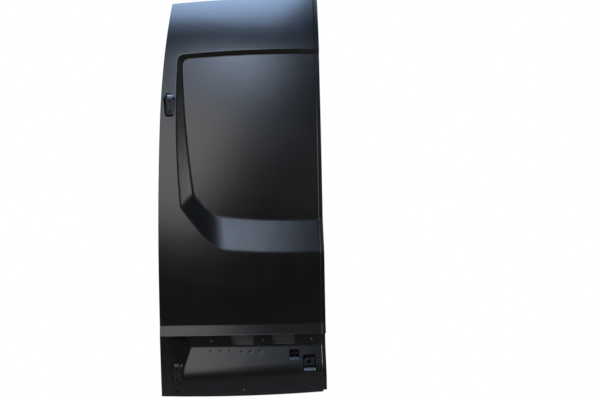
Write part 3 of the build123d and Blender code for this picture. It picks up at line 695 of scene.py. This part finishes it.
def painted_light_primer_paint(name, finish, gloss):
    """Dip primer, with painted light on the face inside the box section: pale grey in level streaks there
    stands in for the brightness seen through the lamp openings.
    That face is where the depth, less the plan arc's rise x * x / 2R, is the inner panel's own."""
    paint = Paint(name)
    streak = paint.noise(40.0, roughness=0.5, stretch=(0.06, 1.0, 3.0))
    speck = paint.noise(420.0, detail=2.0)
    # Painted light: pale grey with level streaks, standing in for the brightness seen through the lamp
    # openings
    painted_light = paint.mixed(paint.mask(streak, 0.35, 0.65), colour(finish.painted_light), colour(finish.painted_light_streaks))
    middle_x, face_y, _ = metres((SYMMETRY_X, INNER_FACE, 0.0))
    across = paint.along("X") - middle_x
    arc_rise = across * across * (0.5 / (PLAN_RADIUS - INNER_FACE) / MM)
    depth = paint.along("Y") - face_y - arc_rise
    inside = paint.mask(depth.math("ABSOLUTE"), 0.6 * MM, 0.3 * MM)
    tone = paint.mixed(inside, colour(finish.primer_pale), painted_light)
    paint.bumped((speck, 0.08, 0.0004), (streak, 0.05, 0.001))
    return paint.set(Base_Color=tone, Roughness=(gloss + (streak - 0.5) * 0.2).clamped())


def setting(kind, **limits):
    """A function that makes one kind of property from its name, its description and its default."""

    def made(name, description, default):
        return kind(name=name, description=description, default=default, **limits)

    return made


length_value = setting(bpy.props.FloatProperty, min=0.0, unit="LENGTH", precision=5)
colour_value = setting(bpy.props.FloatVectorProperty, min=0.0, max=1.0, subtype="COLOR")
share_value = setting(bpy.props.FloatProperty, min=0.0, max=1.0, subtype="FACTOR")
brightness_value = setting(bpy.props.FloatProperty, min=0.0)
lens_value = setting(bpy.props.FloatProperty, unit="CAMERA")


class BarnDoorSizes(bpy.types.PropertyGroup):
    """Sizes that a user would change."""

    skin_width: length_value("Skin width", "Width of the skin at its widest", 0.780)
    top_height: length_value("Top height", "Height of the roof edge in the middle", 1.954)
    gauge: length_value("Sheet gauge", "Thickness of the skin", 0.0009)
    blank_corner: length_value("Blank corner", "Radius of the window blank's top corner", 0.038)
    lip_blend: length_value("Lip softness", "How widely the blank's lip is rounded", 0.0018)
    foot_blend: length_value("Foot softness", "How widely the blank's foot is rounded", 0.0026)


class BarnDoorFinish(bpy.types.PropertyGroup):
    """Colours and gloss of the finishes."""

    primer: colour_value("Primer", "Black dip primer", (0.0030, 0.0031, 0.0034))
    primer_pale: colour_value("Primer, pale", "Where the film is thinner", (0.0045, 0.0046, 0.0049))
    # Painted light: this pale grey and its level streaks, on the face inside the lower box section, stand in
    # for the brightness seen through the lamp openings
    painted_light: colour_value("Thin primer", "Inside the lower box section", (0.22, 0.22, 0.223))
    painted_light_streaks: colour_value("Thin primer, pale", "Its streaks", (0.36, 0.36, 0.365))
    dust_colour: colour_value("Dust", "Dry dust on the primer", (0.10, 0.095, 0.085))
    zinc: colour_value("Zinc", "Black plating of the nuts", (0.09, 0.09, 0.093))
    zinc_pale: colour_value("Zinc, pale", "Its crystals", (0.18, 0.18, 0.184))
    dust: share_value("Dust amount", "Share of dust", 0.10)
    gloss: share_value("Primer roughness", "Roughness of the outer skin", 0.25)
    inner_gloss: share_value("Inner roughness", "Roughness of the inner panels", 0.44)
    pad_dullness: share_value("Pad dullness", "Roughness that the hinge pads' faces add", 0.40)
    shine: share_value("Specular level", "Strength of the primer's shine", 0.5)


class BarnDoorStage(bpy.types.PropertyGroup):
    """Floor, lights and lens."""

    floor: colour_value("Floor", "Colour of the floor", (0.58, 0.52, 0.45))
    room: brightness_value("Room light", "Brightness of the surroundings", 0.05)
    overhead: brightness_value("Overhead box", "Brightness of the box over the header", 2.3)
    high: brightness_value("High box", "Brightness of the high front box", 1.95)
    low: brightness_value("Low box", "Brightness of the wide box at the left front", 1.75)
    shelf: brightness_value("Shelf box", "Brightness of the small box that the blank's shelf mirrors", 12.0)
    fill: brightness_value("Fill box", "Brightness of the dim box at the right front", 0.2)
    right: brightness_value("Right strip", "Brightness of the box beside the meeting edge", 9.0)
    back: brightness_value("Back box", "Brightness of the box behind the door", 1.6)
    lens: lens_value("Lens", "Focal length on a 36 mm wide frame", 50.05)


def sizes_of(context):
    """The sizes in millimetres."""
    group = context.scene.barn_door_sizes
    return SimpleNamespace(**{key: getattr(group, key) / MM for key in BarnDoorSizes.__annotations__})


def ride_and_slot(piece):
    """Lets a piece ride on the door."""
    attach(piece, "root")
    return piece


def sheet_piece(name, node, x, y, z, keep, gauge):
    """A sheet from grids of coordinates in millimetres, in black primer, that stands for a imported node."""
    points = metres(np.stack([x, y, z], axis=-1).reshape(-1, 3))
    sheet = thick_sheet(points, grid_faces(x.shape, keep), gauge * MM)
    piece = ride_and_slot(new_piece(name, *sheet))
    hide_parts(node)
    piece.data.materials.append(bpy.data.materials["skin_primer"])


def warped_x(column, z, reach):
    """X of a column at height z: drawn in by the hinge edge's curve, which dies out at reach."""
    shift = left_edge(z)
    return np.where(column < reach, shift + column * (1.0 - shift / reach), column)


def unwarped(x, z, reach):
    """The column that lies at x at height z, within reach: (x - shift) / (1 - shift / reach)."""
    shift = left_edge(z)
    return (x - shift) / (1.0 - shift / reach)


class BARNDOOR_OT_outer_skin(bpy.types.Operator):
    """Presses the outer skin: one depth field over the door's outline, with a hem folded behind it"""

    bl_idname = "barn_door.outer_skin"
    bl_label = "Outer Skin"

    def execute(self, context):
        sizes = sizes_of(context)
        width, top = sizes.skin_width, sizes.top_height
        column_lines, row_lines = self.grid_lines(width, top)
        columns, rows = hemmed(column_lines, True, True), hemmed(row_lines, False, True)
        x, z = self.outline(columns.line, rows.line, top)
        keep = hem_cells(columns, rows, width)
        inner = (slice(None), columns.inner)
        middle = unwarped(UPPER_PAD[0], UPPER_PAD[1], SKIN_REACH)
        span = (middle, unwarped(UPPER_PAD[0] + BOLT_RADIUS, UPPER_PAD[1], SKIN_REACH) - middle)
        for hole in bolt_holes(UPPER_PAD):
            cut_hole(x[inner], z[inner], keep[inner], column_lines, rows.line, hole, span)
        x, z = x + columns.shift, z + rows.shift[:, None]
        curl = np.maximum(side_curl(x, z, width), bend(top_edge(x, top) - z, EDGE_BEND))
        y = hemmed_depth(upper_field(x, z, sizes), curl, columns, rows)
        sheet_piece("door_skin", "outer_skin", x, y, z, keep, sizes.gauge)
        return {"FINISHED"}

    def grid_lines(self, width, top):
        """Columns and rows: close together at bends and pressings, wide apart where the sheet runs even."""
        room = 1.0
        pad_x, pad_z = UPPER_PAD
        hole_rows = [hole_lines(hole[1], hole[3], hole[4]) for hole in bolt_holes(UPPER_PAD)]
        hole_columns = hole_lines(pad_x, BOLT_RADIUS, BOLT_RADIUS)
        across = [edge_lines(pad_x, PAD_HALF[0], UPPER_PAD_STEPS), hole_columns]
        up = [edge_lines(pad_z, PAD_HALF[1], UPPER_PAD_STEPS), *hole_rows]
        columns = spread(
            (0, 8, 1.0), (8, 60, 6.0), (60, 190, 3.4), (190, 330, 4.6), (330, 770, 11.0), (770, width, 1.0)
        )
        rows = spread(
            (STRIP_SEAM, 360, 3.2),
            (360, 640, 12.0),
            (640, 930, 3.4),
            (930, 1590, 11.0),
            (1590, 1700, 3.0),
            (1700, top - 8, 10.0),
            (top - 8, top, 1.0),
        )
        columns = with_lines(columns, unwarped(np.concatenate(across), pad_z, SKIN_REACH), room)
        rows = with_lines(rows, np.concatenate(up), room)
        return np.append(columns, width), np.append(rows, top)

    def outline(self, column_line, row_line, top):
        """X and z of the grid: drawn to the hinge edge and the roof edge, with their corner on an arc."""
        columns, rows = np.meshgrid(column_line, row_line)
        weight = np.clip((rows - TOP_REACH_START) / (top - TOP_REACH_START), 0.0, 1.0)
        z = rows
        for _ in range(4):
            x = warped_x(columns, z, SKIN_REACH)
            z = rows + weight * (top_edge(x, top) - top)
        edge_x, edge_z = left_edge(z), top_edge(x, top)
        across, up = TOP_CORNER - (x - edge_x), TOP_CORNER - (edge_z - z)
        in_corner = (across > 0.0) & (up > 0.0)
        scale = np.maximum(across, up) / np.maximum(np.hypot(across, up), 1e-9)
        x = np.where(in_corner, edge_x + TOP_CORNER - across * scale, x)
        z = np.where(in_corner, edge_z - TOP_CORNER + up * scale, z)
        return x, z


class BARNDOOR_OT_plate_panel(bpy.types.Operator):
    """Presses the number plate panel: band, slope, left wall, ceiling under the strip, and its openings"""

    bl_idname = "barn_door.plate_panel"
    bl_label = "Number Plate Panel"

    def execute(self, context):
        sizes = sizes_of(context)
        width = sizes.skin_width
        holes = [(x, LAMP_Z, *LAMP_HALF, LAMP_CORNER) for x in LAMP_XS]
        holes += [round_hole(x, LAMP_Z, SMALL_HOLE) for x in CLIP_XS]
        holes += [round_hole(x, z, SMALL_HOLE) for x, z in DRAINS]
        holes += [(*pocket, POCKET_CORNER) for pocket in (LOCK_POCKET, HANDLE_POCKET)]
        holes += bolt_holes(LOWER_PAD)
        column_lines, row_lines = self.grid_lines(holes, width)
        columns, rows = hemmed(column_lines, True, True), hemmed(row_lines, True, False)
        x, z = self.outline(columns.line, rows.line)
        keep = hem_cells(columns, rows, width)
        inner = (slice(None), columns.inner)
        for hole in holes:
            cut_hole(x[inner], z[inner], keep[inner], column_lines, rows.line, hole)
        x, z = x + columns.shift, z + rows.shift[:, None]
        curl = np.maximum(side_curl(x, z, width), bend(z - bottom_edge(x), EDGE_BEND))
        y = hemmed_depth(lower_field(x, z), curl, columns, rows)
        ceiling = self.ceiling(columns, width, x[-1], row_lines[-1])
        x, y, z = (np.concatenate(pair) for pair in zip((x, y, z), ceiling))
        keep = np.concatenate([keep, np.ones((len(ceiling[0]), keep.shape[1]), bool)])
        sheet_piece("plate_panel_skin", "number_plate_panel", x, y, z, keep, sizes.gauge)
        return {"FINISHED"}

    def grid_lines(self, holes, width):
        """Columns and rows up to the lamps' upper edge, with the lines that the holes and the pad need."""
        room = 0.7
        across = [hole_lines(hole[0], hole[2], hole[4]) for hole in holes]
        across.append(edge_lines(LOWER_PAD[0], PAD_HALF[0], LOWER_PAD_STEPS))
        up = [hole_lines(hole[1], hole[3], hole[4]) for hole in holes]
        up.append(edge_lines(LOWER_PAD[1], PAD_HALF[1], LOWER_PAD_STEPS))
        columns = spread((0, 8, 1.0), (8, 190, 3.2), (190, 470, 3.7), (470, 770, 4.6), (770, width, 1.0))
        rows = spread((0, 8, 1.0), (8, 60, 4.0), (60, 130, 3.0), (130, 278, 3.2))
        columns = with_lines(columns, np.concatenate(across), room)
        return np.append(columns, width), with_lines(rows, np.concatenate(up), room)

    def outline(self, column_line, row_line):
        """X and z of the grid, drawn to the hinge edge and the bottom edge."""
        columns, rows = np.meshgrid(column_line, row_line)
        weight = np.clip(1.0 - rows / BOTTOM_REACH, 0.0, 1.0)
        z = rows
        for _ in range(4):
            x = warped_x(columns, z, PANEL_REACH)
            z = rows + weight * bottom_edge(x)
        return x, z

    def ceiling(self, columns, width, top_x, start):
        """Sheet under the strip, in rows from the band's top: a quarter circle, level sheet, a quarter circle
        round the strip's edge, and the seam. Beside the bay, where the drop fades, it runs straight up."""
        strip_y = turned(-STRIP_OUT, top_x)
        deep_y = lower_field(top_x, STRIP_BOTTOM)
        drop = np.maximum(deep_y - strip_y, 0.0)
        inner_corner = np.minimum(BAND_CORNER, drop * CORNER_SHARE)
        outer_corner = np.minimum(STRIP_CORNER, drop * CORNER_SHARE)
        quarter = np.linspace(0.0, np.pi / 2.0, 5)[:, None]
        level = np.linspace(0.0, 1.0, 7)[1:-1, None]
        level_start, level_end = deep_y - inner_corner, strip_y + outer_corner
        y = [
            deep_y - inner_corner * (1.0 - np.cos(quarter)),
            level_start + (level_end - level_start) * level,
            strip_y + outer_corner * (1.0 - np.sin(quarter)),
        ]
        z = [
            STRIP_BOTTOM - inner_corner * (1.0 - np.sin(quarter)),
            np.full((len(level), len(top_x)), STRIP_BOTTOM),
            STRIP_BOTTOM + outer_corner * (1.0 - np.cos(quarter)),
        ]
        y, z = np.concatenate(y), np.concatenate(z)
        plain_z = np.linspace(start, STRIP_BOTTOM + STRIP_CORNER, len(z) + 1)[1:, None]
        fade = np.clip(drop / CEILING_FADE, 0.0, 1.0)
        fade = fade * fade * (3.0 - 2.0 * fade)
        y = strip_y + (y - strip_y) * fade
        z = plain_z + (z - plain_z) * fade
        seam_z = np.linspace(z[-1], STRIP_SEAM, 4)[1:]
        z = np.concatenate([z, seam_z])
        x = warped_x(columns.line, z, PANEL_REACH) + columns.shift
        seam_y = plain_skin(x[-len(seam_z):], np.maximum(seam_z, STRIP_BOTTOM))
        y = np.concatenate([y, seam_y])
        y = y + np.where(columns.back > 0.0, columns.back, side_curl(x, z, width))
        return x, y, z


class BARNDOOR_OT_pockets(bpy.types.Operator):
    """Draws the lock pocket and the handle pocket behind their openings, each with a hole in its floor"""

    bl_idname = "barn_door.pockets"
    bl_label = "Pockets"

    def execute(self, context):
        gauge = sizes_of(context).gauge
        pockets = (("lock_pocket", LOCK_POCKET), ("handle_pocket", HANDLE_POCKET))
        for (name, pocket), lip_run in zip(pockets, POCKET_LIP_RUNS):
            columns, rows = (self.grid_lines(*span) for span in zip(pocket[:2], pocket[2:]))
            x, z = np.meshgrid(columns, rows)
            keep = np.ones((len(rows) - 1, len(columns) - 1), bool)
            cut_hole(x, z, keep, columns, rows, round_hole(*pocket[:2], POCKET_HOLE))
            y = lower_field(x, z) + gauge + pocket_depth(pocket, lip_run, x, z)
            sheet_piece(name + "_cup", name, x, y, z, keep, gauge)
        return {"FINISHED"}

    def grid_lines(self, middle, half):
        """Lines across a pocket and its margin, close together down its walls and round the floor's hole."""
        room = 0.6
        reach = half + POCKET_MARGIN
        lines = spread((middle - reach, middle + reach, 2.0))
        lines = with_lines(lines, edge_lines(middle, half, POCKET_STEPS), room)
        return with_lines(lines, hole_lines(middle, POCKET_HOLE, POCKET_HOLE), room)


class BARNDOOR_OT_rivet_nuts(bpy.types.Operator):
    """Sets black-plated rivet nuts in the trim clip holes of the lamp band"""

    bl_idname = "barn_door.rivet_nuts"
    bl_label = "Rivet Nuts"

    def execute(self, context):
        points, quads = revolved(NUT_BARREL + NUT_FLANGE, NUT_SIDES)
        x = np.array(CLIP_XS)
        z = np.full_like(x, LAMP_Z)
        normals = field_normals(lower_field, x, z)
        spots = np.stack([x, lower_field(x, z), z], axis=-1)
        points, quads = repeated(points, quads, spots, normals)
        piece = ride_and_slot(new_piece("trim_rivet_nuts", metres(points), quads))
        piece.data.materials.append(zinc_paint("plated_zinc", context.scene.barn_door_finish))
        return {"FINISHED"}


class BARNDOOR_OT_primer(bpy.types.Operator):
    """Coats the flange, the inner panels, the stiffeners and the plates in dip primer, with painted light on
    the inner lower panel's face behind the lamp openings
    """

    bl_idname = "barn_door.primer"
    bl_label = "Dip Primer"

    def execute(self, context):
        finish = context.scene.barn_door_finish
        plate_gloss = finish.inner_gloss + 0.06
        inner = primer_paint("inner_primer", finish, finish.inner_gloss, grain=1.6)
        plate = primer_paint("plate_primer", finish, plate_gloss, grain=2.2)
        skin = primer_paint("skin_primer", finish, finish.gloss, grain=1.0)
        # Inner lower panel: dip primer with painted light, pale grey in level streaks, on its face behind the
        # lamp openings
        painted_light = painted_light_primer_paint("thin_primer", finish, finish.inner_gloss)
        slots = {row["node"]: row["material_slot"] for row in frame["record"]["subparts"]}
        for name, node in frame["nodes"].items():
            coat = plate if slots.get(name) == "reinforcement_primer" else inner
            node.data.materials.clear()
            node.data.materials.append({"meeting_flange": skin, "inner_lower_panel": painted_light}.get(name, coat))
        return {"FINISHED"}


class BARNDOOR_OT_stage(bpy.types.Operator):
    """Sets out the floor, the backdrop, soft lights and the camera"""

    bl_idname = "barn_door.stage"
    bl_label = "Stage"

    def execute(self, context):
        scene = context.scene
        stage = scene.barn_door_stage
        floor = self.sweep(-ORIGIN[2] * MM - FLOOR_GAP)
        floor.data.materials.append(self.floor_paint(stage))
        self.room(scene, stage)
        self.lights(stage)
        self.camera(scene, stage)
        scene.view_settings.view_transform = "Standard"
        return {"FINISHED"}

    def lights(self, stage):
        """Soft boxes: one over the header, four in a row in front, one at the right and one behind."""
        deep_sky, pale_sky, neutral = (0.46, 0.66, 1.0), (0.64, 0.77, 1.0), (1.0, 0.97, 0.95)
        over, header = (0.05, -0.38, 2.95), (0.20, 0.06, 1.72)
        self.box_light("overhead_box", over, header, (1.3, 0.95), stage.overhead, deep_sky, spread=60.0)
        self.front_box("high_box", (-0.16, 3.05), (1.45, 1.45), stage.high, pale_sky, roll=-22.0)
        self.front_box("low_box", (-1.25, 1.89), (2.3, 1.45), stage.low, neutral, roll=-26.0)
        self.front_box("shelf_box", (-0.05, 2.93), (0.8, 0.34), stage.shelf, pale_sky, roll=-12.0)
        self.front_box("fill_box", (0.95, 1.2), (0.9, 1.2), stage.fill, neutral, spread=180.0)
        beside, edge = (3.2, -0.95, 1.25), (0.7, 0.0, 1.1)
        self.box_light("right_strip", beside, edge, (1.3, 1.3), stage.right, neutral)
        behind, frame_middle = (0.5, 2.8, 2.3), (0.35, 0.1, 0.9)
        self.box_light("back_box", behind, frame_middle, (1.6, 1.6), stage.back, neutral, spread=120.0)

    def sweep(self, floor_z):
        """Floor and backdrop in one sheet: level, a quarter circle, then upright, carried along X."""
        radius, back, front, half, tall = 1.5, 6.5, -9.0, 9.0, 8.0
        turn = np.linspace(0.0, np.pi / 2.0, 24)
        level = np.linspace(front, back - radius, 12)[:-1]
        y = np.concatenate([level, back - radius + radius * np.sin(turn), [back]])
        z = np.concatenate([np.zeros_like(level), radius - radius * np.cos(turn), [tall]]) + floor_z
        x, y = np.meshgrid(np.linspace(-half, half, 7), y)
        z = np.broadcast_to(z[:, None], x.shape)
        keep = np.ones((x.shape[0] - 1, x.shape[1] - 1), bool)
        points = np.stack([x, y, z], axis=-1).reshape(-1, 3)
        return new_piece("studio_floor", points, grid_faces(x.shape, keep))

    def floor_paint(self, stage):
        """Pale matt floor and backdrop. The camera sees it white, and so do glossy and transmitted rays where
        it lies behind the door; in front of it they see the floor as it is lit."""
        paint = Paint("studio_floor")
        rays = paint.node("ShaderNodeLightPath", {}).outputs
        seen = Field(paint, rays["Is Camera Ray"])
        mirrored = (Field(paint, rays["Is Glossy Ray"]) + Field(paint, rays["Is Transmission Ray"])).clamped()
        white = (seen + mirrored * paint.mask(paint.along("Y"), 0.10, 0.60)).clamped()
        worn = tuple(0.97 * value for value in colour(stage.floor)[:3]) + (1.0,)
        paint.set(Base_Color=paint.mixed(paint.noise(30.0), colour(stage.floor), worn), Roughness=0.9)
        glow = paint.node("ShaderNodeEmission", {}, Strength=1.0)
        both = paint.node("ShaderNodeMixShader", {}, white, paint.shader.outputs[0], glow.outputs[0])
        paint.link(both.outputs[0], paint.tree.nodes["Material Output"].inputs["Surface"])
        return paint.material

    def room(self, scene, stage):
        """Even dim surroundings that show white to the camera, like the floor."""
        world = bpy.data.worlds.new("studio_room")
        world.use_nodes = True
        nodes = NodeTree(world.node_tree)
        dim = world.node_tree.nodes["Background"]
        nodes.link((0.95, 0.97, 1.0, 1.0), dim.inputs["Color"])
        nodes.link(stage.room, dim.inputs["Strength"])
        white = nodes.node("ShaderNodeBackground", {}, Color=(1.0, 1.0, 1.0, 1.0))
        seen = nodes.node("ShaderNodeLightPath", {}).outputs["Is Camera Ray"]
        both = nodes.node("ShaderNodeMixShader", {}, seen, dim.outputs[0], white.outputs[0])
        nodes.link(both.outputs[0], world.node_tree.nodes["World Output"].inputs["Surface"])
        scene.world = world

    def front_box(self, name, place, size, level, tint, roll=0.0, spread=130.0):
        """A soft light in front of the door that faces straight back at it; its place is x and z."""
        x, z = place
        self.box_light(name, (x, FRONT_BOX_Y, z), (x, 0.0, z), size, level, tint, roll, spread)

    def box_light(self, name, place, target, size, level, tint, roll=0.0, spread=180.0):
        """A soft rectangular light aimed at a point; its power is pi times its area and brightness."""
        light = bpy.data.lights.new(name, "AREA")
        light.shape = "RECTANGLE"
        light.size, light.size_y = size
        light.energy = math.pi * size[0] * size[1] * level
        light.color = tint
        light.spread = math.radians(spread)
        lamp = bpy.data.objects.new(name, light)
        lamp.location = place
        aim = (Vector(target) - Vector(place)).to_track_quat("-Z", "Y")
        lamp.rotation_euler = (aim @ Quaternion((0.0, 0.0, 1.0), math.radians(roll))).to_euler()
        lamp.visible_camera = False
        bpy.context.scene.collection.objects.link(lamp)

    def camera(self, scene, stage):
        """The viewing point: level, turned a little to the right, and rolled slightly."""
        data = bpy.data.cameras.new("camera")
        data.sensor_fit = "HORIZONTAL"
        data.sensor_width = 36.0
        data.lens = stage.lens
        data.clip_end = 100.0
        camera = bpy.data.objects.new("camera", data)
        scene.collection.objects.link(camera)
        ahead = Vector((math.sin(CAMERA_HEADING), math.cos(CAMERA_HEADING), 0.0))
        level = Vector((math.cos(CAMERA_HEADING), -math.sin(CAMERA_HEADING), 0.0))
        up = Vector((0.0, 0.0, 1.0))
        right = level * math.cos(CAMERA_ROLL) - up * math.sin(CAMERA_ROLL)
        above = up * math.cos(CAMERA_ROLL) + level * math.sin(CAMERA_ROLL)
        turn = Matrix((right, above, -ahead)).transposed().to_4x4()
        turn.translation = metres(CAMERA_PLACE)
        camera.matrix_world = turn
        scene.camera = camera


class BARNDOOR_PT_panel(bpy.types.Panel):
    """Sizes, finishes and steps of the barn door"""

    bl_idname = "BARNDOOR_PT_panel"
    bl_label = "Barn Door"
    bl_space_type = "VIEW_3D"
    bl_region_type = "UI"
    bl_category = "Barn Door"

    def draw(self, context):
        layout = self.layout
        for name in GROUPS:
            group = getattr(context.scene, name)
            box = layout.box()
            for key in type(group).__annotations__:
                box.prop(group, key)
        for step in STEPS:
            layout.operator(step.bl_idname)


STEPS = (
    BARNDOOR_OT_primer,
    BARNDOOR_OT_outer_skin,
    BARNDOOR_OT_plate_panel,
    BARNDOOR_OT_pockets,
    BARNDOOR_OT_rivet_nuts,
    BARNDOOR_OT_stage,
)
GROUPS = {
    "barn_door_sizes": BarnDoorSizes,
    "barn_door_finish": BarnDoorFinish,
    "barn_door_stage": BarnDoorStage,
}


def register():
    """Registers the property groups, the steps and the panel."""
    for name, group in GROUPS.items():
        bpy.utils.register_class(group)
        setattr(bpy.types.Scene, name, bpy.props.PointerProperty(type=group))
    for cls in (*STEPS, BARNDOOR_PT_panel):
        bpy.utils.register_class(cls)


def unregister():
    """Removes what register added."""
    for cls in (BARNDOOR_PT_panel, *reversed(STEPS)):
        bpy.utils.unregister_class(cls)
    for name, group in reversed(GROUPS.items()):
        delattr(bpy.types.Scene, name)
        bpy.utils.unregister_class(group)


def main():
    """Runs each step in order."""
    register()
    for step in STEPS:
        group, name = step.bl_idname.split(".")
        getattr(getattr(bpy.ops, group), name)()


if __name__ == "__main__":
    main()
